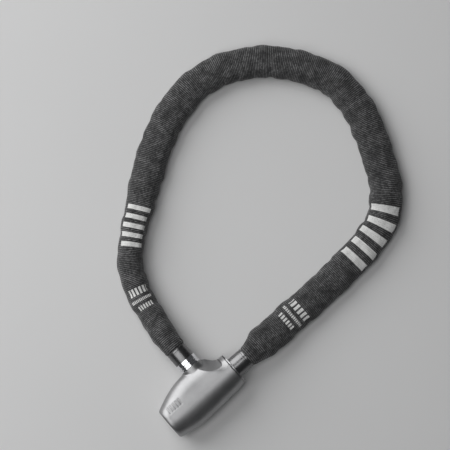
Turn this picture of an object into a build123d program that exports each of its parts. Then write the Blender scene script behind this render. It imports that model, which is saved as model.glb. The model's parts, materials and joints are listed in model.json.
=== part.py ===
from build123d import *
import math
import os

# Bicycle chain lock, plugged in and lying flat, in millimetres. The lock body's axis runs along X from the
# keyhole nose to the fixed end of the chain. The plug leaves its socket along +Y. +Z is up.

# Where the lock body lies
lock_x = -190.3  # face of the nose
lock_y = -121.7  # axis of the lock body
lock_z = 18.2  # height of the lock body's axis

# Lock body
casing_length = 86.0
casing_half_depth = 17.4
collar_length = 1.4
collar_radius = 18.2
socket_x = 54.7  # axis of the socket, from the nose
socket_face = 29.4  # from the body's axis
boss_radius = 13.4
clearance = 0.3  # between parts that move apart
close_fit = 0.05  # radial, or between two faces
loose_fit = 0.1
pocket_fit = 0.4  # round the locking slide
beyond = 120.0  # longer than the whole lock body

# Cylinder
cap_radius = 14.5
cap_thickness = 1.6
keyhole_length = 9.0
keyhole_width = 3.0
keyhole_drop = 0.5  # of the keyhole's middle under the cylinder's axis
shutter_thickness = 1.0
shutter_width = 6.4
shutter_height = 11.4
shutter_coil_pitch = 0.8
shutter_coil_length = 6.4
shutter_coil_radius = 0.4
shutter_wire = 0.12  # radius
cylinder_start = 3.2
cylinder_end = 41.0
housing_radius = 12.0
rotor_radius = 6.5
running_fit = 0.06  # radial
pin_spacing = 4.0
pin_count = 6
pin_radius = 1.3
first_pin = 8.0
pin_coil_pitch = 0.75
pin_coil_radius = 0.95
pin_wire = 0.16  # radius
keyway_width = 1.4
keyway_height = 8.4
keyway_drop = 0.8
keyway_end = 34.0

# Cam and slide
cam_radius = 7.2
cam_start = 42.2
cam_end = 44.1
crank = 4.5  # from the axis to the stud
stud_radius = 1.5
slide_start = 44.5
slide_end = 46.9
slide_travel = crank * math.sqrt(2)
tongue_base = 5.1  # lowest edge of the tongue while the lock is open
tongue_height = 6.0
tongue_width = 5.0
tongue_end = 50.8

# Plug and socket
pin_shaft_radius = 6.0
groove_radius = 3.5
bush_radius = 7.6
bush_bore = 6.3
socket_depth = -8.0  # floor of the socket
pin_tip = -6.6
ring_radius = 12.0
ring_length = 9.2

# Ferrules and anchors
ferrule_radius = 11.0
ferrule_bore = 9.8
fixed_ferrule_start = 80.0
fixed_ferrule_end = 104.4
plug_ferrule_end = 53.0
stem_radius = 9.5
stem_start = 66.0
cross_pin_radius = 2.5
anchor_pin_x = 80.0

# Further places of the lock's inner parts
retaining_x = 36.0
stem_pin_x = 69.0
retaining_radius = 1.5
retaining_base = -16.0
circlip_start = 41.05
circlip_thickness = 0.8
circlip_bore = 5.0
circlip_reach = 1.2  # beyond the rotor
circlip_gap = 5.0
plug_eye = 48.2  # the plug's cross pin, from the body's axis
cross_pin_reach = 8.6
plate_width = 14.4
plate_middle = -1.0
plate_base = -1.2
plate_height = tongue_base + tongue_height - plate_base
slide_room = plate_height + slide_travel + 2 * pocket_fit
slide_room_middle = plate_base + (plate_height - slide_travel) / 2
tongue_room = tongue_height + slide_travel + 2 * pocket_fit
tongue_room_middle = tongue_base + (tongue_height - slide_travel) / 2

# Chain
wire = 5.0
link_inner_length = 20.4
link_inner_width = 7.5
links_per_segment = 3
segments = 13
end_links = 2  # on the lock body, and again on the plug
link_offset = link_inner_length / 2 - wire / 2 - 0.4  # from a cross pin to its link's middle

# Sleeve, a flattened tube
sleeve_half_width = 16.6
sleeve_half_height = 9.8
sleeve_wall = 1.2
sleeve_gap = 2.0  # between two lengths of sleeve, at a chain pivot
neck_radius = 9.6  # inside a ferrule
neck_wall = 0.6
neck_length = 1.0
neck_flare = 24.0  # from the ferrule's mouth to the full width

# Middle line of the chain from the fixed ferrule round to the plug, measured from the nose and the axis
route = [
    (104.4, 0, 18.2),
    (134, 0.5, 14.8),
    (165, 1, 11.4),
    (196, 1, 10.2),
    (224, 2, 10),
    (248, 3.5, 10),
    (272, 6, 10),
    (293, 10.5, 10),
    (309, 18.5, 10),
    (322, 29.5, 10),
    (332.5, 43.5, 10),
    (341.5, 61, 10),
    (350, 81, 10),
    (358, 102, 10),
    (363, 125, 10),
    (363.5, 149, 10),
    (357, 172, 10),
    (345, 193, 10),
    (329, 213, 10),
    (308, 230, 10),
    (284, 242, 10),
    (257, 248, 10),
    (222, 245, 10),
    (185, 231, 10),
    (152, 211, 10),
    (124, 191, 10),
    (98, 172, 10),
    (77, 151, 10),
    (66, 129, 10.2),
    (60.5, 105, 11),
    (56.5, 79, 15),
    (54.7, 53, 18.2),
]


def across(x):
    """A plane across the lock body, its own x along Y and its own y along Z."""
    return Plane(origin=(lock_x + x, lock_y, lock_z), x_dir=(0, 1, 0), z_dir=(1, 0, 0))


def facing_plug(y):
    """A plane across the socket, its own x along Z and its own y along X."""
    return Plane(origin=(lock_x + socket_x, lock_y + y, lock_z), x_dir=(0, 0, 1), z_dir=(0, 1, 0))


def write(part, name):
    part.label = name
    export_step(part, f"parts/{name}.step")


os.makedirs("parts", exist_ok=True)

# ---------------------------------------------------------------- chain path
spline = Spline(
    *[(lock_x + x, lock_y + y, z) for x, y, z in route],
    tangents=[(1, 0, 0), (0, -1, 0)],
)
start_straight = fixed_ferrule_end - anchor_pin_x  # inside the fixed ferrule
link_count = segments * links_per_segment + 2 * end_links
chain_length = start_straight + spline.length + plug_ferrule_end - plug_eye
pitch = (chain_length - 2 * link_offset) / (link_count - 1)
print("sleeve", round(spline.length, 1), "link pitch", round(pitch, 3))


def along(s):
    """The point and direction of the chain's middle line, s from the anchor's cross pin."""
    t = s - start_straight
    if t < 0:
        return spline @ 0 + Vector(t, 0, 0), Vector(1, 0, 0)
    if t > spline.length:
        return spline @ 1 + Vector(0, spline.length - t, 0), Vector(0, -1, 0)
    u = t / spline.length
    return spline @ u, spline % u


def tilted(s, turn):
    """A plane on the chain, its x along the chain, turned about the chain from level."""
    point, direction = along(s)
    level = Plane(origin=point, x_dir=direction, z_dir=Vector(0, 0, 1).cross(direction))
    return Plane(origin=point, x_dir=direction, z_dir=level.z_dir.rotate(Axis((0, 0, 0), direction), turn))


def link_turn(k):
    return 45 if k % 2 else -45


def link_at(k):
    return link_offset + k * pitch


# ---------------------------------------------------------------- lock casing
# Distance from the nose, edge on the socket's side, edge on the far side, half depth
casing_sections = [
    (0.6, 16.6, 16.6, 16.6),
    (8, 19.6, 18.8, casing_half_depth),
    (18, 23.2, 20.6, casing_half_depth),
    (31, 26.6, 21.4, casing_half_depth),
    (44, 29.0, 21.3, casing_half_depth),
    (58, 29.1, 20.6, casing_half_depth),
    (67, 27.8, 19.9, casing_half_depth),
    (72, 24.6, 19.6, casing_half_depth),
    (78, 19.6, 19.0, casing_half_depth),
    (casing_length, 17.9, 17.9, casing_half_depth),
]
with BuildPart() as casing:
    for x, near, far, depth in casing_sections:
        with BuildSketch(across(x)):
            with Locations(((near - far) / 2, 0)):
                Ellipse((near + far) / 2, depth)
    loft()
    # Socket boss and its flat face
    with BuildSketch(facing_plug(0)):
        Circle(boss_radius)
    extrude(amount=socket_face)
    with BuildSketch(facing_plug(socket_face)):
        Rectangle(beyond, 2 * beyond)
    extrude(amount=beyond, mode=Mode.SUBTRACT)
    # Recess of the nose cap and shutter, then the cylinder's bore and the cam's chamber
    with BuildSketch(across(0)):
        Circle(cap_radius + loose_fit)
    extrude(amount=cylinder_start - loose_fit, mode=Mode.SUBTRACT)
    with BuildSketch(across(0)):
        Circle(housing_radius + loose_fit)
    extrude(amount=cylinder_end + loose_fit, mode=Mode.SUBTRACT)
    with BuildSketch(across(cylinder_end)):
        Circle(cam_radius + 1)
    extrude(amount=slide_start - cylinder_end, mode=Mode.SUBTRACT)
    # Pocket of the locking slide and of its tongue
    with BuildSketch(across(slide_start - clearance)):
        with Locations((plate_middle, slide_room_middle)):
            Rectangle(plate_width + 2 * pocket_fit, slide_room)
    extrude(amount=slide_end - slide_start + 2 * clearance, mode=Mode.SUBTRACT)
    with BuildSketch(across(slide_start)):
        with Locations((tongue_width / 2, tongue_room_middle)):
            Rectangle(tongue_width + 2 * pocket_fit, tongue_room)
    extrude(amount=tongue_end - slide_start + pocket_fit, mode=Mode.SUBTRACT)
    # Socket
    with BuildSketch(facing_plug(socket_depth)):
        Circle(bush_radius + close_fit)
    extrude(amount=socket_face - socket_depth + 1, mode=Mode.SUBTRACT)
    # Bores of the anchor and of the fixed ferrule
    with BuildSketch(across(stem_start)):
        Circle(stem_radius + loose_fit)
    extrude(amount=casing_length, mode=Mode.SUBTRACT)
    with BuildSketch(across(fixed_ferrule_start)):
        Circle(ferrule_radius + loose_fit)
    extrude(amount=casing_length, mode=Mode.SUBTRACT)
    # Holes of the two retaining pins
    for x in (retaining_x, stem_pin_x):
        with BuildSketch(Plane(origin=(lock_x + x, lock_y, 0), z_dir=(0, 0, 1))):
            Circle(retaining_radius + close_fit)
        extrude(amount=lock_z, mode=Mode.SUBTRACT)
write(casing.part, "lock_casing")

with BuildPart() as collar:
    with BuildSketch(across(casing_length + close_fit)):
        Circle(collar_radius)
        Circle(ferrule_radius + loose_fit + close_fit, mode=Mode.SUBTRACT)
    extrude(amount=collar_length)
    fillet(collar.edges().filter_by(GeomType.CIRCLE).group_by(SortBy.RADIUS)[-1], collar_length * 0.35)
write(collar.part, "end_collar")

with BuildPart() as cap:
    with BuildSketch(across(0)):
        Circle(cap_radius)
        with Locations((0, -keyhole_drop)):
            SlotOverall(keyhole_length, keyhole_width, rotation=90, mode=Mode.SUBTRACT)
    extrude(amount=cap_thickness)
    fillet(cap.faces().sort_by(Axis.X)[0].outer_wire().edges(), 0.6)
write(cap.part, "nose_cap")

# ---------------------------------------------------------------- key shutter
shutter_x = cap_thickness + 0.2
with BuildPart() as shutter:
    with BuildSketch(across(shutter_x)):
        RectangleRounded(shutter_width, shutter_height, 0.8)
    extrude(amount=shutter_thickness)
write(shutter.part, "key_shutter")

with BuildPart() as shutter_coil:
    coil_start = (
        lock_x + shutter_x + shutter_thickness / 2,
        lock_y - shutter_width / 2 - shutter_coil_radius,
        lock_z,
    )
    with BuildLine():
        helix = Helix(
            pitch=shutter_coil_pitch,
            height=shutter_coil_length,
            radius=shutter_coil_radius,
            center=coil_start,
            direction=(0, -1, 0),
        )
    with BuildSketch(Plane(origin=helix @ 0, z_dir=helix % 0)):
        Circle(shutter_wire)
    sweep(is_frenet=True)
write(shutter_coil.part, "shutter_spring")

# ---------------------------------------------------------------- cylinder
pin_xs = [first_pin + i * pin_spacing for i in range(pin_count)]
key_pin_lengths = [3.4, 4.2, 3.0, 4.8, 3.8, 4.4]
shear_gap = 0.15


def upward(x, z):
    """A level plane over the cylinder, z above its axis."""
    return Plane(origin=(lock_x + x, lock_y, lock_z + z), z_dir=(0, 0, 1))


with BuildPart() as housing:
    with BuildSketch(across(cylinder_start)):
        Circle(housing_radius)
        Circle(rotor_radius + running_fit, mode=Mode.SUBTRACT)
    extrude(amount=cylinder_end - cylinder_start)
    for x in pin_xs:
        with BuildSketch(upward(x, 0)):
            Circle(pin_radius + loose_fit)
        extrude(amount=housing_radius + 1, mode=Mode.SUBTRACT)
    with BuildSketch(upward(retaining_x, -housing_radius - 1)):
        Circle(retaining_radius + close_fit)
    extrude(amount=housing_radius, mode=Mode.SUBTRACT)
write(housing.part, "cylinder_housing")

rotor_tail = 5.6  # side of the square that carries the cam
with BuildPart() as rotor:
    with BuildSketch(across(cylinder_start + loose_fit)):
        Circle(rotor_radius)
    extrude(amount=circlip_start - cylinder_start - loose_fit)
    with BuildSketch(across(circlip_start)):
        Circle(circlip_bore)
    extrude(amount=cam_start - circlip_start)
    with BuildSketch(across(cam_start)):
        Rectangle(rotor_tail, rotor_tail)
    extrude(amount=cam_end - cam_start)
    for x in pin_xs:
        with BuildSketch(upward(x, -1.5)):
            Circle(pin_radius + loose_fit)
        extrude(amount=rotor_radius + 2, mode=Mode.SUBTRACT)
    with BuildSketch(across(0)):
        with Locations((0, -keyway_drop)):
            Rectangle(keyway_width, keyway_height)
    extrude(amount=keyway_end, mode=Mode.SUBTRACT)
write(rotor.part, "cylinder_plug")

with BuildPart() as key_pins:
    for x, length in zip(pin_xs, key_pin_lengths, strict=True):
        with BuildSketch(upward(x, rotor_radius - shear_gap - length)):
            Circle(pin_radius)
        extrude(amount=length)
write(key_pins.part, "key_pins")

driver_length = 2.4
with BuildPart() as driver_pins:
    for x in pin_xs:
        with BuildSketch(upward(x, rotor_radius + shear_gap + running_fit)):
            Circle(pin_radius)
        extrude(amount=driver_length)
write(driver_pins.part, "driver_pins")

coil_base = rotor_radius + shear_gap + running_fit + driver_length + 0.2
with BuildPart() as pin_springs:
    for x in pin_xs:
        with BuildLine(upward(x, coil_base)):
            helix = Helix(pitch=pin_coil_pitch, height=housing_radius - coil_base - 0.25, radius=pin_coil_radius)
        with BuildSketch(Plane(origin=helix @ 0, z_dir=helix % 0)):
            Circle(pin_wire)
        sweep(path=helix, is_frenet=True)
write(pin_springs.part, "pin_springs")

with BuildPart() as circlip:
    with BuildSketch(across(circlip_start + loose_fit)):
        Circle(rotor_radius + circlip_reach)
        Circle(circlip_bore + loose_fit, mode=Mode.SUBTRACT)
        with Locations((0, -rotor_radius)):
            Rectangle(circlip_gap, rotor_radius, mode=Mode.SUBTRACT)
    extrude(amount=circlip_thickness)
write(circlip.part, "cylinder_circlip")

stud_y = -crank / math.sqrt(2)
stud_z = crank / math.sqrt(2)
with BuildPart() as cam:
    with BuildSketch(across(cam_start)):
        Circle(cam_radius)
        Rectangle(rotor_tail + loose_fit, rotor_tail + loose_fit, mode=Mode.SUBTRACT)
    extrude(amount=cam_end - cam_start)
    with BuildSketch(across(cam_end)):
        with Locations((stud_y, stud_z)):
            Circle(stud_radius)
    extrude(amount=slide_end - cam_end - 0.2)
write(cam.part, "drive_cam")

for name, x, top in (("cylinder_retaining_pin", retaining_x, -7.5), ("anchor_retaining_pin", stem_pin_x, -2)):
    with BuildPart() as retaining_pin:
        with BuildSketch(upward(x, retaining_base)):
            Circle(retaining_radius)
        extrude(amount=top - retaining_base)
        chamfer(retaining_pin.edges().filter_by(GeomType.CIRCLE), 0.3)
    write(retaining_pin.part, name)

# ---------------------------------------------------------------- locking slide
with BuildPart() as slide:
    with BuildSketch(across(slide_start)):
        with Locations((plate_middle, plate_base + plate_height / 2)):
            RectangleRounded(plate_width, plate_height, 0.8)
        with Locations((-(crank + stud_z) / 2, stud_z)):
            SlotCenterToCenter(crank - stud_z + 0.8, 2 * (stud_radius + clearance), mode=Mode.SUBTRACT)
    extrude(amount=slide_end - slide_start)
    with BuildSketch(across(slide_end)):
        with Locations((tongue_width / 2, tongue_base + tongue_height / 2)):
            RectangleRounded(tongue_width, tongue_height, 0.6)
    extrude(amount=tongue_end - slide_end)
write(slide.part, "locking_slide")

with BuildPart() as bush:
    with BuildSketch(facing_plug(socket_depth)):
        Circle(bush_radius)
        Circle(bush_bore, mode=Mode.SUBTRACT)
    extrude(amount=socket_face - socket_depth - 2 * clearance)
    with BuildSketch(across(slide_start)):
        with Locations((tongue_width / 2, tongue_room_middle)):
            Rectangle(tongue_width + 2 * pocket_fit, tongue_room)
    extrude(amount=tongue_end - slide_start + pocket_fit, mode=Mode.SUBTRACT)
write(bush.part, "socket_bush")


# ---------------------------------------------------------------- anchors of the chain's two ends
def fork_slot(s, turn):
    """A plane across the chain at s, its own x across the thickness of the link there."""
    link_plane = tilted(s, turn)
    return Plane(origin=link_plane.origin, x_dir=link_plane.z_dir, z_dir=link_plane.x_dir)


first_turn = link_turn(0)
last_turn = link_turn(link_count - 1)
fork_width = wire + 1.1
fork_depth = link_inner_length / 2 + wire - link_offset + 0.8  # from the cross pin to the slot's floor
with BuildPart() as stem:
    with BuildSketch(across(stem_start + 0.2)):
        Circle(stem_radius)
    extrude(amount=anchor_pin_x - stem_start + cross_pin_radius + 2)
    with BuildSketch(fork_slot(-fork_depth, first_turn)):
        Rectangle(fork_width, 3 * stem_radius)
    extrude(amount=3 * fork_depth, mode=Mode.SUBTRACT)
    with BuildSketch(tilted(0, first_turn)):
        Circle(cross_pin_radius + close_fit)
    extrude(amount=2 * stem_radius, both=True, mode=Mode.SUBTRACT)
    with BuildSketch(upward(stem_pin_x, -stem_radius - 1)):
        Circle(retaining_radius + close_fit)
    extrude(amount=stem_radius, mode=Mode.SUBTRACT)
write(stem.part, "anchor_stem")

for name, s, turn in (
    ("anchor_cross_pin", 0, first_turn),
    ("plug_cross_pin", chain_length, last_turn),
):
    with BuildPart() as cross_pin:
        with BuildSketch(tilted(s, turn)):
            Circle(cross_pin_radius)
        extrude(amount=cross_pin_reach, both=True)
    write(cross_pin.part, name)

with BuildPart() as fixed_ferrule:
    with BuildSketch(across(fixed_ferrule_start)):
        Circle(ferrule_radius)
        Circle(ferrule_bore, mode=Mode.SUBTRACT)
    extrude(amount=fixed_ferrule_end - fixed_ferrule_start)
    fillet(fixed_ferrule.faces().sort_by(Axis.X)[-1].edges(), 0.5)
write(fixed_ferrule.part, "fixed_ferrule")

# ---------------------------------------------------------------- plug
ring_start = socket_face + clearance
ring_end = ring_start + ring_length
with BuildPart() as plug_pin:
    with BuildSketch(facing_plug(pin_tip)):
        Circle(pin_shaft_radius)
    extrude(amount=ring_end - pin_tip)
    chamfer(plug_pin.faces().sort_by(Axis.Y)[0].edges(), 1.2)
    with BuildSketch(facing_plug(-pocket_fit)):
        Circle(pin_shaft_radius + 1)
        Circle(groove_radius, mode=Mode.SUBTRACT)
    extrude(amount=tongue_width + 2 * pocket_fit, mode=Mode.SUBTRACT)
    # Head with its fork, inside the ferrule
    with BuildSketch(facing_plug(ring_end)):
        Circle(stem_radius)
    extrude(amount=plug_eye + cross_pin_radius + 1.0 - ring_end)
    with BuildSketch(fork_slot(chain_length + fork_depth, last_turn)):
        Rectangle(fork_width, 3 * stem_radius)
    extrude(amount=-3 * fork_depth, mode=Mode.SUBTRACT)
    with BuildSketch(tilted(chain_length, last_turn)):
        Circle(cross_pin_radius + close_fit)
    extrude(amount=2 * stem_radius, both=True, mode=Mode.SUBTRACT)
write(plug_pin.part, "plug_pin")

with BuildPart() as ring:
    with BuildSketch(facing_plug(ring_start)):
        Circle(ring_radius)
        Circle(pin_shaft_radius + close_fit, mode=Mode.SUBTRACT)
    extrude(amount=ring_length - close_fit)
    fillet(ring.edges().filter_by(GeomType.CIRCLE).group_by(SortBy.RADIUS)[-1], 0.9)
write(ring.part, "plug_collar")

with BuildPart() as plug_ferrule:
    with BuildSketch(facing_plug(ring_end)):
        Circle(ferrule_radius)
        Circle(ferrule_bore, mode=Mode.SUBTRACT)
    extrude(amount=plug_ferrule_end - ring_end)
    fillet(plug_ferrule.faces().sort_by(Axis.Y)[-1].edges(), 0.5)
write(plug_ferrule.part, "plug_ferrule")

# ---------------------------------------------------------------- chain
link_end_radius = (link_inner_width + wire) / 2  # of the wire's middle line
link_straight = (link_inner_length - link_inner_width) / 2
with BuildPart() as link:
    with BuildLine():
        Line((-link_straight, -link_end_radius), (link_straight, -link_end_radius))
        CenterArc((link_straight, 0), link_end_radius, -90, 180)
        Line((link_straight, link_end_radius), (-link_straight, link_end_radius))
        CenterArc((-link_straight, 0), link_end_radius, 90, 180)
    with BuildSketch(Plane(origin=(-link_straight, -link_end_radius, 0), z_dir=(1, 0, 0))):
        Circle(wire / 2)
    sweep()

chain_groups = [("anchor_links", end_links)]
chain_groups += [(f"chain_links_{i:02}", links_per_segment) for i in range(1, segments + 1)]
chain_groups += [("plug_links", end_links)]
first = 0
for name, count in chain_groups:
    with BuildPart() as group:
        for k in range(first, first + count):
            with Locations(tilted(link_at(k), link_turn(k)).location):
                add(link.part)
    write(group.part, name)
    first += count

# ---------------------------------------------------------------- sleeve
mouth = start_straight
sleeve_end_s = start_straight + spline.length
pivots = [link_at(end_links + i * links_per_segment - 0.5) for i in range(segments + 1)]
stations = 4  # sections of each length of sleeve


def half_sizes(s):
    """Half width and half height of the sleeve, narrowed towards both ferrules."""
    near = min(s - mouth, sleeve_end_s - s)
    spread = math.sin(math.pi / 2 * min(max(near / neck_flare, 0), 1)) ** 2
    width = neck_radius + (sleeve_half_width - neck_radius) * spread
    return width, neck_radius + (sleeve_half_height - neck_radius) * spread


edges = [mouth - neck_length]
for s in pivots:
    edges += [s - sleeve_gap / 2, s + sleeve_gap / 2]
edges.append(sleeve_end_s + neck_length)
names = ["sleeve_start"] + [f"sleeve_{i:02}" for i in range(1, segments + 1)] + ["sleeve_end"]
for name, start, end in zip(names, edges[::2], edges[1::2], strict=True):
    wall = neck_wall if name in (names[0], names[-1]) else sleeve_wall
    with BuildPart() as sleeve:
        for inset, mode in ((0, Mode.ADD), (wall, Mode.SUBTRACT)):
            for i in range(stations):
                s = start + (end - start) * i / (stations - 1)
                half_width, half_height = half_sizes(s)
                with BuildSketch(fork_slot(s, 0)):
                    Ellipse(half_width - inset, half_height - inset)
            loft(mode=mode)
    write(sleeve.part, name)

for s in pivots:
    point, direction = along(s)
    print("pivot", [round(v / 1000, 6) for v in point])
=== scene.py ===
# Bicycle chain lock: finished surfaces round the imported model. All sizes are in metres.
import json
import math

import bmesh
import bpy
import numpy as np
from mathutils import Matrix, Vector, noise


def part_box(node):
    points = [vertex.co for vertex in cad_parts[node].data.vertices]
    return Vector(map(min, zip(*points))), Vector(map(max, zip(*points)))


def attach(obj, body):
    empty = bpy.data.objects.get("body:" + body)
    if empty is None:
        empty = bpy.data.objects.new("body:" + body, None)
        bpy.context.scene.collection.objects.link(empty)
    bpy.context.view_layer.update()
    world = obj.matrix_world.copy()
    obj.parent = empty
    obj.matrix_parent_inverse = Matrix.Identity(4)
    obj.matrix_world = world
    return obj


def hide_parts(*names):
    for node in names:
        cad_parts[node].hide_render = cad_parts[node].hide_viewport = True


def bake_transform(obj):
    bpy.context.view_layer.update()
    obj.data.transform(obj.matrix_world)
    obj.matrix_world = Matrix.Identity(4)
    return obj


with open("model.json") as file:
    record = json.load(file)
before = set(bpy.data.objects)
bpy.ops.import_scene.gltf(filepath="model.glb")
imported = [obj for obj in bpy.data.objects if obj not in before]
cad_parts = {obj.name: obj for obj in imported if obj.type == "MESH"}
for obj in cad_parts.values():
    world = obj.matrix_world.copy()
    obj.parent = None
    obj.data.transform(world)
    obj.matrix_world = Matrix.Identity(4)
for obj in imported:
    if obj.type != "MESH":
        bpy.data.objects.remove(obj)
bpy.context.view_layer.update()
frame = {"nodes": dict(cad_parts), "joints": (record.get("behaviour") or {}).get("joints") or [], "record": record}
MM = 0.001

# ---------------------------------------------------------------- places, from the frame
cap_low, cap_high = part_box("nose_cap")
collar_low, collar_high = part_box("end_collar")
ring_low, ring_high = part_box("plug_collar")
fixed_low, fixed_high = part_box("fixed_ferrule")
plug_low, plug_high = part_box("plug_ferrule")
NOSE = Vector((cap_low[0], (cap_low[1] + cap_high[1]) / 2, (cap_low[2] + cap_high[2]) / 2))
SOCKET_X = (ring_low[0] + ring_high[0]) / 2
SOCKET = Vector((SOCKET_X, NOSE.y, NOSE.z))
FERRULE_RADIUS = (fixed_high[1] - fixed_low[1]) / 2
pivots = sorted((j for j in frame["joints"] if j["name"].startswith("chain_pivot")), key=lambda j: j["name"])


# ---------------------------------------------------------------- camera
CAMERA_AZIMUTH = math.radians(-41)
CAMERA_ELEVATION = math.radians(84)
CAMERA_DISTANCE = 2.0
AIM = Vector((-0.0121, -0.0031, 0.0))
cos_e, sin_e = math.cos(CAMERA_ELEVATION), math.sin(CAMERA_ELEVATION)
to_camera = Vector((math.sin(CAMERA_AZIMUTH) * cos_e, -math.cos(CAMERA_AZIMUTH) * cos_e, sin_e))
camera = bpy.data.objects.new("camera", bpy.data.cameras.new("camera"))
bpy.context.scene.collection.objects.link(camera)
camera.location = AIM + to_camera * CAMERA_DISTANCE
camera.rotation_euler = (-to_camera).to_track_quat("-Z", "Y").to_euler()
camera.data.lens = 153.85
camera.data.sensor_width = 36
camera.data.clip_start = 0.05
bpy.context.scene.camera = camera


# ---------------------------------------------------------------- node helpers
class Nodes:
    """A material's node tree, with short calls for the nodes that the materials here share."""

    def __init__(self, name):
        self.material = bpy.data.materials.new(name)
        self.material.use_nodes = True
        self.tree = self.material.node_tree
        self.tree.nodes.clear()
        self.shader = self.add("ShaderNodeBsdfPrincipled")
        output = self.add("ShaderNodeOutputMaterial")
        self.link(self.shader.outputs[0], output.inputs["Surface"])

    def add(self, kind, **settings):
        node = self.tree.nodes.new(kind)
        for key, value in settings.items():
            setattr(node, key, value)
        return node

    def link(self, source, target):
        self.tree.links.new(source, target)

    def put(self, value, socket):
        """Links a socket, or sets a plain number or colour."""
        if isinstance(value, bpy.types.NodeSocket):
            self.link(value, socket)
        else:
            socket.default_value = value

    def math(self, operation, a, b=0.0, c=0.0):
        node = self.add("ShaderNodeMath", operation=operation)
        for value, socket in zip((a, b, c), node.inputs):
            self.put(value, socket)
        return node.outputs[0]

    def noise(self, vector, scale, detail=3.0, roughness=0.55):
        node = self.add("ShaderNodeTexNoise")
        self.link(vector, node.inputs["Vector"])
        node.inputs["Scale"].default_value = scale
        node.inputs["Detail"].default_value = detail
        node.inputs["Roughness"].default_value = roughness
        return node.outputs[0]

    def ramp(self, value, low, high, to_low, to_high):
        node = self.add("ShaderNodeMapRange")
        self.put(value, node.inputs["Value"])
        for key, number in zip(("From Min", "From Max", "To Min", "To Max"), (low, high, to_low, to_high)):
            node.inputs[key].default_value = number
        return node.outputs[0]

    def mix(self, factor, a, b):
        node = self.add("ShaderNodeMix", data_type="RGBA")
        self.put(factor, node.inputs["Factor"])
        for value, socket in ((a, node.inputs[6]), (b, node.inputs[7])):
            self.put((*value, 1) if isinstance(value, tuple) else value, socket)
        return node.outputs[2]

    def object_coordinates(self):
        return self.add("ShaderNodeTexCoord").outputs["Object"]

    def stretched(self, vector, scale):
        node = self.add("ShaderNodeMapping")
        self.link(vector, node.inputs["Vector"])
        node.inputs["Scale"].default_value = scale
        return node.outputs[0]

    def bump(self, height, distance, strength=1.0):
        node = self.add("ShaderNodeBump")
        self.link(height, node.inputs["Height"])
        node.inputs["Distance"].default_value = distance
        node.inputs["Strength"].default_value = strength
        self.link(node.outputs[0], self.shader.inputs["Normal"])

    def set(self, **values):
        for key, value in values.items():
            socket = self.shader.inputs[key.replace("_", " ")]
            self.put((*value, 1) if isinstance(value, tuple) else value, socket)


# ---------------------------------------------------------------- metals
def metal(name, dark, light, roughness, grain, grain_scale, bump=0.00001):
    """A metal whose colour and gloss vary softly, with a fine grain that may run along one axis."""
    n = Nodes(name)
    place = n.object_coordinates()
    cloud = n.noise(place, 38.0, 4.0)
    fine = n.noise(n.stretched(place, grain), grain_scale, 4.0, 0.6)
    n.set(Base_Color=n.mix(n.ramp(cloud, 0.35, 0.65, 0, 1), dark, light), Metallic=1.0)
    grainy = n.ramp(fine, 0.3, 0.7, roughness - 0.05, roughness + 0.05)
    patchy = n.ramp(cloud, 0.3, 0.7, -0.02, 0.02)
    n.set(Roughness=n.math("ADD", grainy, patchy))
    n.bump(fine, bump, 0.6)
    return n.material


casing_metal = metal("casing_metal", (0.33, 0.33, 0.335), (0.40, 0.40, 0.405), 0.42, (1, 1, 1), 1400, 0.00002)
trim_metal = metal("trim_metal", (0.42, 0.42, 0.43), (0.5, 0.5, 0.51), 0.3, (1, 1, 1), 900)
dark_metal = metal("dark_metal", (0.16, 0.16, 0.163), (0.22, 0.22, 0.223), 0.3, (1, 1, 1), 1500)
bright_ring = metal("bright_ring", (0.80, 0.80, 0.82), (0.88, 0.88, 0.9), 0.1, (1, 1, 1), 700, 0.000003)
brass = metal("brass", (0.62, 0.47, 0.2), (0.75, 0.6, 0.3), 0.3, (1, 1, 1), 900)
hard_steel = metal("hard_steel", (0.42, 0.42, 0.43), (0.55, 0.55, 0.56), 0.27, (1, 14, 1), 420)
spring_steel = metal("spring_steel", (0.5, 0.5, 0.5), (0.6, 0.6, 0.6), 0.25, (1, 1, 1), 900)
chain_steel = metal("chain_steel", (0.38, 0.38, 0.4), (0.56, 0.56, 0.58), 0.32, (1, 1, 1), 600)


# ---------------------------------------------------------------- sleeve fabric
RIB = 1.8 * MM  # spacing of the ribs across the sleeve
FLAT_WIDTH = 84 * MM  # circumference of the sleeve
YARN = 0.9 * MM  # spacing of the yarns round the sleeve
UV_UNIT = 0.1  # metres of sleeve to one unit of U, and V runs once round the sleeve
PRINT_MIDDLE = 0.25  # of the printed rows, of one turn round the sleeve
PRINT_COLOUR = (0.80, 0.80, 0.79)
# Printed rows of bars: distance from the ferrule, height along the sleeve, pitch and reach round it
BAR_ROWS = [(0.052, 0.0052, 0.036, 0.10), (0.0612, 0.0032, 0.022, 0.145), (0.0685, 0.0078, 0.050, 0.13)]


def window(n, mask, u, v, u_low, u_high, v_low, v_high):
    """The mask inside these limits along and round the sleeve, and nothing outside them."""
    for operation, value, edge in (
        ("GREATER_THAN", u, u_low),
        ("LESS_THAN", u, u_high),
        ("GREATER_THAN", v, v_low),
        ("LESS_THAN", v, v_high),
    ):
        mask = n.math("MULTIPLY", mask, n.math(operation, value, edge))
    return mask


def repeated(n, value, first, pitch, fill):
    """One for the first part of each pitch, and zero for the rest."""
    turns = n.math("DIVIDE", n.math("SUBTRACT", value, first), pitch)
    return n.math("LESS_THAN", n.math("FRACT", turns), fill)


def bands(n, u, v, first, count, pitch, v_low, v_high):
    """A mask of plain bands straight across the sleeve, the first one this far from the fixed ferrule."""
    return window(n, repeated(n, u, first, pitch, 0.5), u, v, first, first + count * pitch, v_low, v_high)


def bars(n, u, v, start, height, pitch, v_low, v_high):
    """A mask of one row of short bars across the sleeve, as high along it as height."""
    return window(n, repeated(n, v, v_low, pitch, 0.62), u, v, start, start + height, v_low, v_high)


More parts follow.
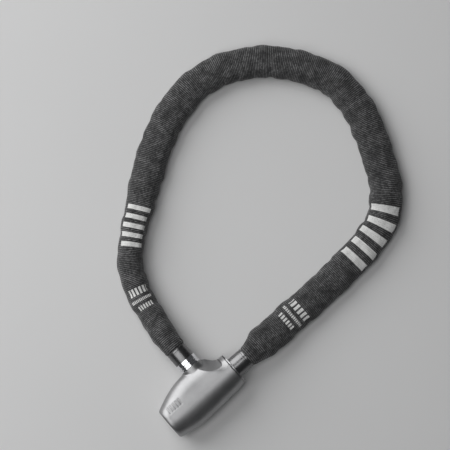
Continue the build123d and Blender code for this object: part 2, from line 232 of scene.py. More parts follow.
def make_sleeve_fabric(length):
    n = Nodes("sleeve_fabric")
    split = n.add("ShaderNodeSeparateXYZ")
    uv = n.add("ShaderNodeUVMap", uv_map="sleeve")
    n.link(uv.outputs[0], split.inputs[0])
    u = n.math("MULTIPLY", split.outputs[0], UV_UNIT)
    v = split.outputs[1]
    place = n.object_coordinates()
    wobble = n.math("MULTIPLY", n.math("SUBTRACT", n.noise(place, 240.0, 2.0), 0.5), 0.0007)
    rib = n.math("SINE", n.math("MULTIPLY", n.math("ADD", u, wobble), 2 * math.pi / RIB))
    around = n.math("MULTIPLY", v, FLAT_WIDTH)
    yarn = n.math("SINE", n.math("MULTIPLY", n.math("ADD", around, wobble), 2 * math.pi / YARN))
    half = n.math("SINE", n.math("MULTIPLY", u, math.pi / RIB))
    crossing = n.math("MULTIPLY", n.math("MULTIPLY", yarn, half), 0.5)
    weave = n.math("ADD", n.math("MULTIPLY", rib, 0.75), crossing)
    cloud = n.noise(place, 110.0, 4.0)
    specks = n.noise(place, 420.0, 2.0)
    fuzz = n.noise(place, 2600.0, 2.0)
    # Patchy base tone about a centimetre across: partly the fabric's own uneven tone, partly painted shade
    # standing in for the shading of the sleeve's folds.
    base = n.mix(n.ramp(cloud, 0.35, 0.65, 0, 1), (0.075, 0.075, 0.076), (0.235, 0.235, 0.237))
    base = n.mix(n.ramp(specks, 0.36, 0.56, 0.75, 0), base, (0.016, 0.016, 0.017))
    # Painted shade in the grooves: the troughs between the ribs of the weave go near black, over the real rib
    # pattern.
    base = n.mix(n.ramp(weave, -0.25, 0.45, 0.98, 0), base, (0.003, 0.003, 0.004))
    # Plain printed marks, which stand for nothing
    near_bands = bands(n, u, v, 0.147, 5, 0.0154, 0.08, 0.42)
    far_bands = bands(n, u, v, length - 0.163, 5, 0.0096, 0.10, 0.40)
    print_mask = n.math("MAXIMUM", near_bands, far_bands)
    for near, height, pitch, reach in BAR_ROWS:
        for start in (near, length - near - height):
            row = bars(n, u, v, start, height, pitch, PRINT_MIDDLE - reach, PRINT_MIDDLE + reach)
            print_mask = n.math("MAXIMUM", print_mask, row)
    worn = n.ramp(n.noise(place, 900.0, 3.0), 0.30, 0.42, 0.6, 1.0)
    print_mask = n.math("MULTIPLY", print_mask, worn)
    n.set(
        Base_Color=n.mix(print_mask, base, PRINT_COLOUR),
        Roughness=n.ramp(fuzz, 0.3, 0.7, 0.62, 0.85),
        Sheen_Weight=0.25,
        Sheen_Roughness=0.45,
    )
    n.bump(n.math("ADD", weave, n.math("MULTIPLY", fuzz, 0.5)), 0.00022, 0.8)
    return n.material


# ---------------------------------------------------------------- mesh helpers
def new_object(name, vertices, faces, material, smooth_angle=None):
    mesh = bpy.data.meshes.new(name)
    mesh.from_pydata([tuple(v) for v in vertices], [], faces)
    if material:
        mesh.materials.append(material)
    piece = bpy.data.objects.new(name, mesh)
    bpy.context.scene.collection.objects.link(piece)
    mesh.shade_smooth()
    if smooth_angle is not None:
        mesh.set_sharp_from_angle(angle=math.radians(smooth_angle))
    return piece


def lathe(name, origin, axis, profile, material, around=128, smooth_angle=32):
    """A turned piece. The profile is a closed list of (along the axis, radius)."""
    axis = Vector(axis)
    side = axis.orthogonal().normalized()
    other = axis.cross(side)
    vertices = []
    for along, radius in profile:
        for k in range(around):
            angle = 2 * math.pi * k / around
            out = side * math.cos(angle) + other * math.sin(angle)
            vertices.append(origin + axis * along + out * radius)
    count = len(profile)
    faces = []
    for i in range(count):
        j = (i + 1) % count
        for k in range(around):
            m = (k + 1) % around
            faces.append((i * around + k, i * around + m, j * around + m, j * around + k))
    piece = new_object(name, vertices, faces, material, smooth_angle)
    tidy_normals(piece)
    return piece


def tidy_normals(piece):
    b = bmesh.new()
    b.from_mesh(piece.data)
    bmesh.ops.recalc_face_normals(b, faces=b.faces)
    b.to_mesh(piece.data)
    b.free()


def rounded(corners, radius, steps=5):
    """A closed profile with each corner of the given list rounded."""
    points = []
    count = len(corners)
    for i, corner in enumerate(corners):
        here = Vector(corner)
        before, after = Vector(corners[i - 1]), Vector(corners[(i + 1) % count])
        reach = min(radius, (before - here).length * 0.45, (after - here).length * 0.45)
        start = here + (before - here).normalized() * reach
        end = here + (after - here).normalized() * reach
        for k in range(steps + 1):
            t = k / steps
            points.append(tuple(start * (1 - t) ** 2 + here * (2 * t * (1 - t)) + end * t**2))
    return points


def apply_modifiers(piece):
    bpy.context.view_layer.update()
    graph = bpy.context.evaluated_depsgraph_get()
    evaluated = piece.evaluated_get(graph)
    mesh = bpy.data.meshes.new_from_object(evaluated, preserve_all_data_layers=True, depsgraph=graph)
    old = piece.data
    piece.modifiers.clear()
    piece.data = mesh
    bpy.data.meshes.remove(old)


# ---------------------------------------------------------------- lock casing
# Distance from the nose, edge on the socket's side, edge on the far side, half depth
CASING_SECTIONS = [
    (0.0, 16.2, 16.2, 16.0),
    (1.3, 17.3, 17.4, 17.0),
    (8, 20.4, 19.0, 17.4),
    (18, 24.4, 20.9, 17.4),
    (30, 27.7, 21.8, 17.4),
    (42, 29.2, 21.5, 17.4),
    (58, 29.3, 20.6, 17.4),
    (66.5, 29.0, 20.0, 17.4),
    (70, 27.3, 19.8, 17.4),
    (73, 23.8, 19.6, 17.4),
    (76.5, 20.0, 19.4, 17.4),
    (81, 18.2, 18.7, 17.4),
    (86, 17.9, 18.0, 17.5),
]
BOSS_RADIUS = 12.9 * MM
SOCKET_FACE = ring_low[1] - NOSE.y - 0.3 * MM
CASING_AROUND = 96
FULLNESS = 0.94  # exponent of the casing's section, 1 for an ellipse and less for a fuller one
SOCKET_SIDE_FULLER, UPRIGHT_FULLER = 0.22, 0.08  # taken off it at the shoulder
VOXEL = 0.55 * MM
COVE_MIDDLE, COVE_BAND = 1.2 * MM, 4 * MM  # out from the boss, smoothed where it meets the body
COVE_RIM, COVE_FADE = 2.2 * MM, 3 * MM  # under the socket's face, left sharp
SHARP = math.radians(40)


def hermite(t):
    """The four weights of a cubic: start, tangent there, end, tangent there."""
    return 2 * t**3 - 3 * t**2 + 1, t**3 - 2 * t**2 + t, -2 * t**3 + 3 * t**2, t**3 - t**2


def smooth_curve(xs, ys, x):
    """Monotone cubic through (xs, ys)."""
    xs, ys = np.array(xs, float), np.array(ys, float)
    slope = np.diff(ys) / np.diff(xs)
    tangent = np.concatenate([[slope[0]], (slope[1:] + slope[:-1]) / 2, [slope[-1]]])
    turning = slope[1:] * slope[:-1] <= 0
    tangent[1:-1][turning] = 0
    i = np.clip(np.searchsorted(xs, x) - 1, 0, len(xs) - 2)
    width = xs[i + 1] - xs[i]
    h00, h10, h01, h11 = hermite((x - xs[i]) / width)
    return h00 * ys[i] + h10 * width * tangent[i] + h01 * ys[i + 1] + h11 * width * tangent[i + 1]


def ease(t):
    """Rises smoothly from 0 to 1 as t does."""
    t = np.clip(t, 0, 1)
    return t * t * (3 - 2 * t)


# Plain grooves on the casing: along the body from the nose, then across it
MARK_START, MARK_PITCH, MARK_LENGTH, MARK_COUNT = 8.0 * MM, 3.6 * MM, 1.8 * MM, 5
MARK_MIDDLE, MARK_HALF_HEIGHT, MARK_DEPTH, MARK_EDGE = 10.5 * MM, 3.8 * MM, 0.4 * MM, 0.7 * MM


def engrave(casing):
    """A row of plain straight grooves, sunk into the upper side near the nose."""
    mesh = casing.data
    count = len(mesh.vertices)
    places, normals = np.empty(count * 3), np.empty(count * 3)
    mesh.vertices.foreach_get("co", places)
    mesh.vertices.foreach_get("normal", normals)
    places, normals = places.reshape(-1, 3), normals.reshape(-1, 3)
    x, y = places[:, 0] - NOSE.x, places[:, 1] - NOSE.y - MARK_MIDDLE
    inside = np.zeros(count)
    for number in range(MARK_COUNT):
        from_middle = np.abs(x - MARK_START - number * MARK_PITCH - MARK_LENGTH / 2)
        inside = np.maximum(inside, ease((MARK_LENGTH / 2 - from_middle) / MARK_EDGE + 0.5))
    inside = inside * ease((MARK_HALF_HEIGHT - np.abs(y)) / MARK_EDGE + 0.5) * (places[:, 2] > NOSE.z)
    places -= normals * (inside * MARK_DEPTH)[:, None]
    mesh.vertices.foreach_set("co", places.ravel())
    mesh.update()


# The casing's holes, in millimetres from the nose and the body's axis. Round ones: the two ends of the middle
# line and the radius. Square ones: the low and the high corner. Those that open in a face run a bit past it.
ROUND_HOLES = [
    ((-1, 0, 0), (3.1, 0, 0), 14.6),  # nose cap and shutter
    ((-1, 0, 0), (41.1, 0, 0), 12.1),  # cylinder
    ((41, 0, 0), (44.5, 0, 0), 8.2),  # cam
    ((54.7, -8, 0), (54.7, 30.4, 0), 7.65),  # socket
    ((66, 0, 0), (87, 0, 0), 9.6),  # anchor
    ((80, 0, 0), (87, 0, 0), 11.1),  # fixed ferrule
    ((36, 0, -19), (36, 0, 0), 1.55),  # retaining pin of the cylinder
    ((69, 0, -19), (69, 0, 0), 1.55),  # retaining pin of the anchor
]
SQUARE_HOLES = [
    ((44.2, -8.6, -7.96), (47.2, 6.6, 11.5)),  # plate of the locking slide
    ((44.5, -0.4, -1.66), (51.2, 5.4, 11.5)),  # tongue of the locking slide
]


def add_cylinder(shape, radius, length, place):
    bmesh.ops.create_cone(
        shape, cap_ends=True, segments=96, radius1=radius, radius2=radius, depth=length, matrix=place
    )


def cutter(shape):
    """An object of its own from this mesh, to cut with."""
    mesh = bpy.data.meshes.new("cutter")
    shape.to_mesh(mesh)
    shape.free()
    piece = bpy.data.objects.new("cutter", mesh)
    bpy.context.scene.collection.objects.link(piece)
    return piece


def round_cutter(start, end, radius):
    start, end = Vector(start) * MM, Vector(end) * MM
    turn = (end - start).to_track_quat("Z", "Y").to_matrix().to_4x4()
    place = Matrix.Translation(NOSE + (start + end) / 2) @ turn
    shape = bmesh.new()
    add_cylinder(shape, radius * MM, (end - start).length, place)
    return cutter(shape)


def square_cutter(low, high):
    low, high = Vector(low) * MM, Vector(high) * MM
    place = Matrix.Translation(NOSE + (low + high) / 2) @ Matrix.Diagonal((*(high - low), 1))
    shape = bmesh.new()
    bmesh.ops.create_cube(shape, size=1, matrix=place)
    return cutter(shape)


SCOOP_FROM, SCOOP_TO = 56.7, 84.0  # along the lock body from its nose, in millimetres
SCOOP_LOW, SCOOP_HIGH = 8.0, 27.9  # its edge, out from the body's axis, at the far end and beside the boss
SCOOP_TOP, SCOOP_LIP = 17.4, 2.6


def scoop(casing, xs, near):
    """Sinks the hollow between the socket's boss and the fixed end, on the upper and the under side."""
    mesh = casing.data
    places = np.empty(len(mesh.vertices) * 3)
    mesh.vertices.foreach_get("co", places)
    places = places.reshape(-1, 3)
    x, y, z = (places[:, k] / MM - NOSE[k] / MM for k in range(3))
    back = np.clip((SCOOP_TO - x) / (SCOOP_TO - SCOOP_FROM), 0, 1)
    edge = SCOOP_LOW + (SCOOP_HIGH - SCOOP_LOW) * back**3.4
    outline = np.interp(x, xs, near)
    share = np.clip((y - edge) / np.maximum(outline - edge, 1.0), 0, 1)
    limit = SCOOP_LIP + (SCOOP_TOP - SCOOP_LIP) * (1 - share) ** 1.15
    limit += 20 * ease((x - 79.5) / 5.5) + 40 * (x < SCOOP_FROM)
    boss = BOSS_RADIUS / MM
    limit = np.maximum(limit, np.sqrt(np.clip(boss**2 - (x - (SOCKET.x - NOSE.x) / MM) ** 2, 0, None)))
    z = np.clip(z, -limit, limit)
    places[:, 2] = z * MM + NOSE.z
    mesh.vertices.foreach_set("co", places.ravel())
    mesh.update()


def casing_form(stations, near, far, depth):
    """The body as one ring of points for each station, and the socket's boss through its side."""
    b = bmesh.new()
    rings = []
    for x, a, f, d in zip(stations, near, far, depth):
        # fuller than an ellipse, and squarest towards the socket
        shoulder = float(ease((x - 14) / 24) * ease((82 - x) / 12))
        ring = []
        for k in range(CASING_AROUND):
            angle = 2 * math.pi * k / CASING_AROUND
            c, s = math.cos(angle), math.sin(angle)
            square = shoulder if c > 0 else 0
            y = math.copysign(abs(c) ** (FULLNESS - SOCKET_SIDE_FULLER * square), c) * (a if c > 0 else f)
            z = math.copysign(abs(s) ** (FULLNESS - UPRIGHT_FULLER * square), s) * d
            ring.append(b.verts.new(NOSE + Vector((x, y, z)) * MM))
        rings.append(ring)
    for one, two in zip(rings, rings[1:]):
        for k in range(CASING_AROUND):
            m = (k + 1) % CASING_AROUND
            b.faces.new((one[k], one[m], two[m], two[k]))
    b.faces.new(rings[0])
    b.faces.new(rings[-1])
    middle = SOCKET + Vector((0, SOCKET_FACE / 2, 0))
    turn = Matrix.Translation(middle) @ Matrix.Rotation(math.pi / 2, 4, "X")
    add_cylinder(b, BOSS_RADIUS, SOCKET_FACE, turn)
    bmesh.ops.recalc_face_normals(b, faces=b.faces)
    mesh = bpy.data.meshes.new("casing_shell")
    b.to_mesh(mesh)
    b.free()
    mesh.materials.append(casing_metal)
    casing = bpy.data.objects.new("casing_shell", mesh)
    bpy.context.scene.collection.objects.link(casing)
    return casing


def smooth_cove(casing):
    """The junction of boss and body is smoothed into a cove, and the rest only lightly."""
    places = np.empty(len(casing.data.vertices) * 3)
    casing.data.vertices.foreach_get("co", places)
    places = places.reshape(-1, 3) - np.array(SOCKET)
    from_axis = np.hypot(places[:, 0], places[:, 2])
    near_wall = np.clip(1 - np.abs(from_axis - BOSS_RADIUS - COVE_MIDDLE) / COVE_BAND, 0, 1)
    below_rim = np.clip((SOCKET_FACE - COVE_RIM - places[:, 1]) / COVE_FADE, 0, 1)
    weights = near_wall**0.7 * below_rim * (places[:, 1] > 0.004)
    group = casing.vertex_groups.new(name="cove")
    for index in np.nonzero(weights > 0.01)[0]:
        group.add([int(index)], float(weights[index]), "REPLACE")
    for iterations, limited in ((24, "cove"), (5, "")):
        smooth = casing.modifiers.new("smooth", "SMOOTH")
        smooth.iterations = iterations
        smooth.factor = 0.5
        smooth.vertex_group = limited
    apply_modifiers(casing)


def cut_holes(casing):
    cutters = [round_cutter(*hole) for hole in ROUND_HOLES] + [square_cutter(*hole) for hole in SQUARE_HOLES]
    for piece in cutters:
        cut = casing.modifiers.new("hole", "BOOLEAN")
        cut.operation = "DIFFERENCE"
        cut.solver = "EXACT"
        cut.object = piece
    apply_modifiers(casing)
    for piece in cutters:
        bpy.data.objects.remove(piece)


def make_casing():
    xs = [row[0] for row in CASING_SECTIONS]
    stations = np.unique(np.concatenate([np.linspace(0, 1.1, 4), np.linspace(1.1, xs[-1], 90)]))
    near, far, depth = (smooth_curve(xs, [row[k] for row in CASING_SECTIONS], stations) for k in (1, 2, 3))
    casing = casing_form(stations, near, far, depth)
    remesh = casing.modifiers.new("remesh", "REMESH")
    remesh.mode = "VOXEL"
    remesh.voxel_size = VOXEL
    remesh.use_smooth_shade = True
    apply_modifiers(casing)
    scoop(casing, stations, near)
    smooth_cove(casing)
    engrave(casing)
    cut_holes(casing)
    casing.vertex_groups.clear()
    casing.data.shade_smooth()
    casing.data.set_sharp_from_angle(angle=SHARP)
    return casing


casing = make_casing()
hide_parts("lock_casing")
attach(casing, "lock")


# ---------------------------------------------------------------- turned metal pieces
X, Y = (1, 0, 0), (0, 1, 0)
FERRULE_BORE = 9.8 * MM
RING_BORE = 6.05 * MM
COLLAR_BORE = FERRULE_RADIUS + 0.15 * MM


def tube_profile(length, outer, inner, edge, beads=()):
    """A tube's closed profile with rounded edges. Beads are bands with a step in radius: (from, to, step)."""
    corners = [(0, outer)]
    for start, end, step in beads:
        corners += [(start, outer), (start, outer + step), (end, outer + step), (end, outer)]
    corners += [(length, outer), (length, inner), (0, inner)]
    return rounded(corners, edge)


def turned(name, node, body, origin, axis, profile, material):
    piece = lathe(name, origin, axis, profile, material)
    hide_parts(node)
    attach(piece, body)
    return piece


def ferrule_profile(length):
    """A plain tube with one fine groove near the sleeve's end."""
    groove = (length - 2.6 * MM, length - 2.1 * MM, -0.35 * MM)
    return tube_profile(length, FERRULE_RADIUS, FERRULE_BORE, 0.5 * MM, [groove])


turned(
    "fixed_ferrule_turned", "fixed_ferrule", "lock",
    Vector((fixed_low[0], NOSE.y, NOSE.z)), X,
    ferrule_profile(fixed_high[0] - fixed_low[0]), dark_metal,
)
turned(
    "plug_ferrule_turned", "plug_ferrule", "plug",
    Vector((SOCKET_X, plug_low[1], NOSE.z)), Y,
    ferrule_profile(plug_high[1] - plug_low[1]), dark_metal,
)
ring_length = ring_high[1] - ring_low[1]
ring_radius = (ring_high[0] - ring_low[0]) / 2
turned(
    "plug_collar_turned", "plug_collar", "plug",
    Vector((SOCKET_X, ring_low[1], NOSE.z)), Y,
    tube_profile(ring_length, ring_radius, RING_BORE, 0.35 * MM,
                 [(1.9 * MM, 2.9 * MM, -0.8 * MM), (4.4 * MM, 5.4 * MM, -0.8 * MM)]),
    bright_ring,
)
collar_length = collar_high[0] - collar_low[0]
collar_radius = (collar_high[1] - collar_low[1]) / 2 - 0.2 * MM
turned(
    "end_collar_turned", "end_collar", "lock",
    Vector((collar_low[0], NOSE.y, NOSE.z)), X,
    tube_profile(collar_length, collar_radius, COLLAR_BORE, 0.3 * MM, [(0, 0.4 * MM, -0.8 * MM)]),
    trim_metal,
)


# ---------------------------------------------------------------- sleeve route
# Middle line of the sleeve from the fixed ferrule to the plug's, in millimetres: along the lock body from its
# nose, out from its axis, and up from the surface.
ROUTE = [
    (104.4, 0, 18.2),
    (134, 0.5, 14.8),
    (165, 1, 11.4),
    (196, 1, 10.2),
    (224, 2, 10),
    (248, 3.5, 10),
    (272, 6, 10),
    (293, 10.5, 10),
    (309, 18.5, 10),
    (322, 29.5, 10),
    (332.5, 43.5, 10),
    (341.5, 61, 10),
    (350, 81, 10),
    (358, 102, 10),
    (363, 125, 10),
    (363.5, 149, 10),
    (357, 172, 10),
    (345, 193, 10),
    (329, 213, 10),
    (308, 230, 10),
    (284, 242, 10),
    (257, 248, 10),
    (222, 245, 10),
    (185, 231, 10),
    (152, 211, 10),
    (124, 191, 10),
    (98, 172, 10),
    (77, 151, 10),
    (66, 129, 10.2),
    (60.5, 105, 11),
    (56.5, 79, 15),
    (54.7, 53, 18.2),
]
HALF_WIDTH, HALF_HEIGHT = 16.6 * MM, 9.2 * MM
NARROW_WIDTH, NARROW_HEIGHT = 12.9 * MM, 11.8 * MM  # along the last stretch, up to the plug
NARROW_REACH, NARROW_FADE = 0.21, 0.09  # length of that stretch, and of the change to it
NECK_RADIUS = 9.4 * MM  # inside a ferrule
MOUTH_RADIUS = 11.3 * MM  # where the sleeve swells out of the ferrule
FLARE = 24 * MM  # from the ferrule to the full width
TUCK = 4.0 * MM  # inside the fixed ferrule
PLUG_TUCK = 1.1 * MM
RING_STEP = 2.4 * MM
AROUND = 44


def clamped_spline(points, start, end):
    """Tangents of the smooth cubic through points, by length of chord, with the end directions given."""
    chords = np.linalg.norm(np.diff(points, axis=0), axis=1)
    knots = np.concatenate([[0], np.cumsum(chords)])
    count = len(points)
    system = np.zeros((count, count))
    right = np.zeros((count, 3))
    system[0, 0] = system[-1, -1] = 1
    right[0], right[-1] = start, end
    for i in range(1, count - 1):
        before, after = chords[i - 1], chords[i]
        system[i, i - 1 : i + 2] = after, 2 * (before + after), before
        behind, ahead = points[i] - points[i - 1], points[i + 1] - points[i]
        right[i] = 3 * (after * behind / before + before * ahead / after)
    return knots, np.linalg.solve(system, right)


def dense_curve(points, start, end, per_run=40):
    """The smooth cubic through points, as many close points."""
    knots, tangents = clamped_spline(points, start, end)
    found = []
    for i in range(len(points) - 1):
        width = knots[i + 1] - knots[i]
        for t in np.linspace(0, 1, per_run, endpoint=i == len(points) - 2):
            h00, h10, h01, h11 = hermite(t)
            from_start = h00 * points[i] + h10 * width * tangents[i]
            found.append(from_start + h01 * points[i + 1] + h11 * width * tangents[i + 1])
    return np.array(found)


route = np.array([(NOSE.x + x * MM, NOSE.y + y * MM, z * MM) for x, y, z in ROUTE])
curve = dense_curve(route, (1, 0, 0), (0, -1, 0))
curve_s = np.concatenate([[0], np.cumsum(np.linalg.norm(np.diff(curve, axis=0), axis=1))])
SLEEVE_LENGTH = float(curve_s[-1])


def on_curve(s):
    return np.stack([np.interp(s, curve_s, curve[:, k]) for k in range(3)], axis=1)


def at(s):
    """Places and directions on the middle line, which goes straight on past both ends."""
    s = np.atleast_1d(s)
    inside = np.clip(s, 0, SLEEVE_LENGTH)
    step = 0.5 * MM
    places = on_curve(inside)
    ahead = on_curve(np.clip(inside + step, 0, SLEEVE_LENGTH))
    directions = ahead - on_curve(np.clip(inside - step, 0, SLEEVE_LENGTH))
    directions /= np.linalg.norm(directions, axis=1, keepdims=True)
    places = places + directions * (s - inside)[:, None]
    return places, directions


def frames_at(s):
    """Places, directions, level sideways directions and upward directions."""
    places, directions = at(s)
    side = np.cross(directions, (0, 0, 1))
    side /= np.linalg.norm(side, axis=1, keepdims=True)
    return places, directions, side, np.cross(side, directions)


def nearest_s(place):
    gaps = np.linalg.norm(curve - np.array(place), axis=1)
    return float(curve_s[int(np.argmin(gaps))])


pivot_s = [nearest_s(j["pos_m"]) for j in pivots]
link_pitch = (pivot_s[-1] - pivot_s[0]) / (3 * (len(pivot_s) - 1))
link_s = [pivot_s[0] + (k - 1.5) * link_pitch for k in range(3 * (len(pivot_s) - 1) + 4)]


def half_sizes(s):
    """Half width and half height of the smooth sleeve at each s."""
    near = np.minimum(s, SLEEVE_LENGTH - s)
    out = ease(near / FLARE)
    swell = ease((near + 1.0 * MM) / (3 * MM))
    base = NECK_RADIUS + (MOUTH_RADIUS - NECK_RADIUS) * swell
    narrow = ease((s - SLEEVE_LENGTH + NARROW_REACH) / NARROW_FADE)
    width = base + (HALF_WIDTH + (NARROW_WIDTH - HALF_WIDTH) * narrow - MOUTH_RADIUS) * out
    height = base + (HALF_HEIGHT + (NARROW_HEIGHT - HALF_HEIGHT) * narrow - MOUTH_RADIUS) * out
    return width, height


ring_count = int((SLEEVE_LENGTH + TUCK + PLUG_TUCK) / RING_STEP) + 1
ring_s = np.linspace(-TUCK, SLEEVE_LENGTH + PLUG_TUCK, ring_count)

LINK_BULGE = 0.9 * MM  # over each straight run of wire
SIDE_BULGE = 0.7 * MM
LINK_SINK = 0.35 * MM  # where two links meet
BULGE_SPREAD = 0.62  # of a bulge round the sleeve, in radians


def bulges(s, angles):
    """How far the chain inside pushes the sleeve out, for each s and angle."""
    near = np.minimum(s, SLEEVE_LENGTH - s)
    found = np.zeros((len(s), len(angles)))
    for number, middle in enumerate(link_s):
        along = ease(1.25 - np.abs(s - middle) / (9.5 * MM))
        first = math.pi / 4 if number % 2 else 3 * math.pi / 4
        flank = 0 if number % 2 else math.pi
        for centre, size in ((first, LINK_BULGE), (first - math.pi, LINK_BULGE), (flank, SIDE_BULGE)):
            gap = np.abs((angles - centre + math.pi) % (2 * math.pi) - math.pi)
            found += size * along[:, None] * np.exp(-((gap / BULGE_SPREAD) ** 2))[None, :]
    phase = (s - link_s[0]) / link_pitch
    sink = LINK_SINK * np.sin(math.pi * phase) ** 6
    return (found - sink[:, None]) * ease((near - 2 * MM) / (16 * MM))[:, None]


def smooth_tube(s, angles):
    """The tube before it puckers, a ring for each s. Angle 0 is to the loop's outer side, a quarter is up."""
    places, _, side, up = frames_at(s)
    width, height = half_sizes(s)
    places[:, 2] = np.maximum(places[:, 2], height + 0.5 * MM)
    c, d = np.cos(angles), np.sin(angles)
    out = bulges(s, angles)
    return (
        places[:, None, :]
        + side[:, None, :] * ((width[:, None] + out) * c[None, :])[..., None]
        + up[:, None, :] * ((height[:, None] + out) * d[None, :])[..., None]
    )


def tube_faces(rings, around):
    faces = []
    for i in range(rings - 1):
        one, two = i * around, (i + 1) * around
        for k in range(around):
            m = (k + 1) % around
            faces.append((one + k, one + m, two + m, two + k))
    return faces


# ---------------------------------------------------------------- cloth simulation of the sleeve
SIM_SCALE = 20.0  # cloth springs behave at this size
SIM_FRAMES = 24
SPARE_LENGTH = 1.045  # the fabric is this much longer than its route, and so puckers
SPARE_WIDTH = 1.02


def rest_tube(angles):
    """The same fabric unbent: a straight tube with its spare length and width."""
    width, height = half_sizes(ring_s)
    x = (ring_s * SPARE_LENGTH)[:, None] * np.ones(len(angles))[None, :]
    y = (width * SPARE_WIDTH)[:, None] * np.cos(angles)[None, :]
    z = (height * SPARE_WIDTH)[:, None] * np.sin(angles)[None, :]
    return np.stack([x, y, z], axis=2)


def simulate(tube, rest, pinned):
    """The tube's points after its spare fabric has buckled into puckers."""
    rings, around = tube.shape[:2]
    points = tube.reshape(-1, 3) * SIM_SCALE
    piece = new_object("sleeve_cloth", points, tube_faces(rings, around), None)
    piece.shape_key_add(name="Basis")
    key = piece.shape_key_add(name="rest")
    key.data.foreach_set("co", (rest.reshape(-1, 3) * SIM_SCALE).ravel())
    group = piece.vertex_groups.new(name="pinned")
    for ring, weight in pinned:
        group.add(list(range(ring * around, (ring + 1) * around)), weight, "REPLACE")
    cloth = piece.modifiers.new("cloth", "CLOTH")
    s = cloth.settings
    s.quality = 6
    s.mass = 0.2
    s.tension_stiffness = s.compression_stiffness = 30
    s.shear_stiffness = 8
    s.bending_model = "ANGULAR"
    s.bending_stiffness = 1.2
    s.tension_damping = s.compression_damping = s.shear_damping = 6
    s.bending_damping = 1
    s.air_damping = 2
    s.rest_shape_key = key
    s.vertex_group_mass = "pinned"
    s.effector_weights.gravity = 0
    cloth.collision_settings.use_collision = False
    cloth.point_cache.frame_start = 1
    cloth.point_cache.frame_end = SIM_FRAMES
    scene = bpy.context.scene
    for number in range(1, SIM_FRAMES + 1):
        scene.frame_set(number)
    settled = piece.evaluated_get(bpy.context.evaluated_depsgraph_get())
    found = np.empty(len(points) * 3)
    settled.data.vertices.foreach_get("co", found)
    scene.frame_set(1)
    bpy.data.objects.remove(piece)
    return found.reshape(rings, around, 3) / SIM_SCALE


# ---------------------------------------------------------------- finished sleeve
REFINE = 2  # finer rows and columns after the simulation
MOST_MOVED = 2.2 * MM  # a limit on how far the cloth may leave the plain tube, well above what it does
PUCKER, PUCKER_LENGTH = 0.8 * MM, 9 * MM  # height and length of the soft puckers
GATHER, GATHER_REACH, GATHER_COUNT = 0.42 * MM, 11 * MM, 13  # round the sleeve at each ferrule
WELT, STITCH = 0.55 * MM, 0.4 * MM  # how far the seam stands up, and its stitches sink
LOWEST = 0.15 * MM  # of the fabric above the surface that it lies on
SEAM_V = 0.355  # where the sewn seam runs, of one turn round the sleeve
SEAM_HALF = 2.6 * MM


def refined(grid, factor):
    """Catmull-Rom points between the rows, and between the columns of the closed turn."""

    def between(p0, p1, p2, p3, t):
        square, cube = 2 * p0 - 5 * p1 + 4 * p2 - p3, 3 * p1 - p0 - 3 * p2 + p3
        return 0.5 * (2 * p1 + (p2 - p0) * t + square * t**2 + cube * t**3)

    rows = []
    last = len(grid) - 1
    for i in range(last):
        p = [grid[min(max(i + k, 0), last)] for k in (-1, 0, 1, 2)]
        rows += [between(*p, j / factor) for j in range(factor)]
    rows.append(grid[last])
    rows = np.array(rows)
    columns = []
    around = rows.shape[1]
    for k in range(around):
        p = [rows[:, (k + m) % around] for m in (-1, 0, 1, 2)]
        columns += [between(*p, j / factor) for j in range(factor)]
    return np.stack(columns, axis=1)


def grid_normals(grid):
    along = np.gradient(grid, axis=0)
    around = np.roll(grid, -1, axis=1) - np.roll(grid, 1, axis=1)
    normals = np.cross(around, along)
    normals /= np.maximum(np.linalg.norm(normals, axis=2, keepdims=True), 1e-12)
    middle = grid.mean(axis=1, keepdims=True)
    if ((grid - middle) * normals).sum() < 0:
        normals = -normals
    return normals


def soft_noise(points, scale, seed):
    """Smooth noise from -1 to 1 at each point of an (n, m, 3) grid."""
    flat = points.reshape(-1, 3) * scale + seed
    return np.array([noise.noise(Vector(p)) for p in flat]).reshape(points.shape[:2])


def add_detail(grid, s, v):
    """Gathers at the ferrules, soft puckers and the sewn seam, moved along the surface's normals."""
    normals = grid_normals(grid)
    near = np.minimum(s, SLEEVE_LENGTH - s)[:, None]
    free = ease(near / (6 * MM))
    angle = 2 * math.pi * v[None, :]
    turned_by = (s[:, None] / PUCKER_LENGTH, 1.6 * np.cos(angle), 1.6 * np.sin(angle))
    around = np.stack(np.broadcast_arrays(*turned_by), axis=2)
    puckers = soft_noise(around, 1.0, 3.1)
    move = free * PUCKER * puckers
    gathers = np.cos(GATHER_COUNT * angle + 2.5 * soft_noise(around, 0.7, 8.4))
    fading = np.exp(-np.clip(near, 0, None) / GATHER_REACH)
    move = move + GATHER * fading * ease((near - 0.2 * MM) / (2.5 * MM)) * gathers
    from_seam = (v[None, :] - SEAM_V) * FLAT_WIDTH
    welt = WELT * ease((SEAM_HALF + 0.8 * MM - np.abs(from_seam)) / (0.9 * MM))
    stitch = -STITCH * np.exp(-(((np.abs(from_seam) - SEAM_HALF + 1.0 * MM) / (0.55 * MM)) ** 2))
    move = move + ease(near / (3 * MM)) * (welt + stitch)
    return grid + normals * move[..., None]


def make_sleeve():
    angles = 2 * math.pi * np.arange(AROUND) / AROUND
    tube = smooth_tube(ring_s, angles)
    pinned = []
    for ring, s in enumerate(ring_s):
        inside = min(s, SLEEVE_LENGTH - s)
        weight = float(1 - ease((inside - 1 * MM) / (6 * MM)))
        if weight > 0:
            pinned.append((ring, weight))
    settled = simulate(tube, rest_tube(angles), pinned)
    move = settled - tube
    size = np.linalg.norm(move, axis=2, keepdims=True)
    most, mean = float(size.max()) / MM, float(size.mean()) / MM
    print("sleeve cloth moved by up to", round(most, 2), "mm, mean", round(mean, 2))
    tube = tube + move * np.minimum(1, MOST_MOVED / np.maximum(size, 1e-9))
    grid = refined(tube, REFINE)
    s = np.linspace(ring_s[0], ring_s[-1], len(grid))
    v = np.arange(grid.shape[1]) / grid.shape[1]
    grid = add_detail(grid, s, v)
    grid[..., 2] = np.maximum(grid[..., 2], LOWEST)
    return grid, s


sleeve_fabric = make_sleeve_fabric(SLEEVE_LENGTH)
sleeve_grid, sleeve_s = make_sleeve()
sleeve_normals = grid_normals(sleeve_grid)


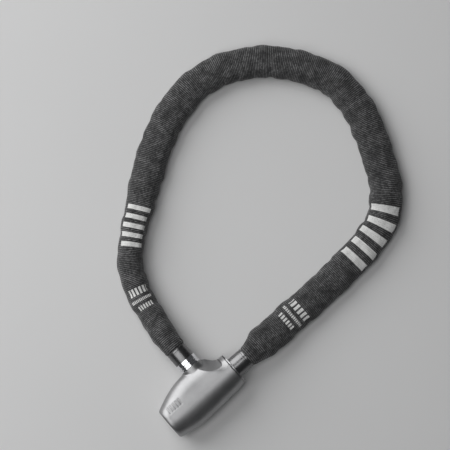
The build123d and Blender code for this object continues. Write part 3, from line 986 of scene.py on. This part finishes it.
def sleeve_piece(name, first, last):
    """One length of the sleeve, from one row of the grid to another."""
    around = sleeve_grid.shape[1]
    rows = last - first + 1
    points = sleeve_grid[first : last + 1].reshape(-1, 3)
    piece = new_object(name, points, tube_faces(rows, around), sleeve_fabric)
    mesh = piece.data
    layer = mesh.uv_layers.new(name="sleeve")
    index = 0
    for i in range(rows - 1):
        for k in range(around):
            corners = ((i, k), (i, k + 1), (i + 1, k + 1), (i + 1, k))
            for row, column in corners:
                layer.data[index].uv = (sleeve_s[first + row] / UV_UNIT, column / around)
                index += 1
    if mesh.polygons[0].normal.dot(Vector(sleeve_normals[first, 0])) < 0:
        mesh.flip_normals()
    mesh.normals_split_custom_set_from_vertices(sleeve_normals[first : last + 1].reshape(-1, 3).tolist())
    return piece


cuts = [0]
for one, two in zip(pivot_s, pivot_s[1:]):
    cuts.append(int(np.argmin(np.abs(sleeve_s - (one + two) / 2))))
cuts.append(len(sleeve_s) - 1)
for number, (first, last) in enumerate(zip(cuts, cuts[1:])):
    piece = sleeve_piece(f"woven_sleeve_{number + 1:02}", first, last)
    replaced = ["sleeve_start"] if number == 0 else [f"sleeve_{number:02}"]
    if number == len(cuts) - 2:
        replaced.append("sleeve_end")
    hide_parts(*replaced)
    place, direction = (found[0] for found in at(pivot_s[number]))
    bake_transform(piece)


# ---------------------------------------------------------------- finish of the carried-over nodes
by_slot = {
    "casing_metal": casing_metal,
    "trim_metal": trim_metal,
    "brass": brass,
    "spring_steel": spring_steel,
    "hard_steel": hard_steel,
    "dark_metal": dark_metal,
    "bright_ring": bright_ring,
    "chain_steel": chain_steel,
    "sleeve_fabric": sleeve_fabric,
}
for row in frame["record"]["subparts"]:
    node = frame["nodes"][row["node"]]
    for slot in node.material_slots:
        slot.material = by_slot[row["material_slot"]]

# ---------------------------------------------------------------- floor and lights
n = Nodes("studio_floor")
floor_colour = n.mix(n.noise(n.object_coordinates(), 3.0), (0.74, 0.74, 0.74), (0.78, 0.78, 0.78))
n.set(Base_Color=floor_colour, Roughness=0.75)
floor_corners = [(-4, -4, 0), (4, -4, 0), (4, 4, 0), (-4, 4, 0)]
floor = new_object("studio_floor", floor_corners, [(0, 1, 2, 3)], n.material)

right = Vector((math.cos(CAMERA_AZIMUTH), math.sin(CAMERA_AZIMUTH), 0))
ahead = Vector((-math.sin(CAMERA_AZIMUTH), math.cos(CAMERA_AZIMUTH), 0))


def softbox(name, sideways, forward, height, size, power, lengthways=(1, 0)):
    """An area light placed by the camera's own right and ahead, facing the object, its length one way."""
    light = bpy.data.objects.new(name, bpy.data.lights.new(name, "AREA"))
    light.data.shape = "RECTANGLE"
    light.data.size, light.data.size_y = size
    light.data.energy = power
    place = right * sideways + ahead * forward + Vector((0, 0, height))
    back = (place - AIM).normalized()
    along = right * lengthways[0] + ahead * lengthways[1]
    along = (along - back * along.dot(back)).normalized()
    turn = Matrix((along, back.cross(along), back)).transposed()
    light.matrix_world = Matrix.Translation(place) @ turn.to_4x4()
    bpy.context.scene.collection.objects.link(light)


softbox("key_light", -1.4, 0.95, 1.0, (1.9, 2.3), 37, (0.56, 0.83))
softbox("top_light", -0.45, -0.35, 1.5, (1.8, 0.6), 7.5, (0.74, 0.67))
world = bpy.data.worlds.new("studio")
world.use_nodes = True
world.node_tree.nodes["Background"].inputs[0].default_value = (0.85, 0.87, 0.9, 1)
world.node_tree.nodes["Background"].inputs[1].default_value = 0.07
bpy.context.scene.world = world
bpy.context.scene.view_settings.view_transform = "Standard"
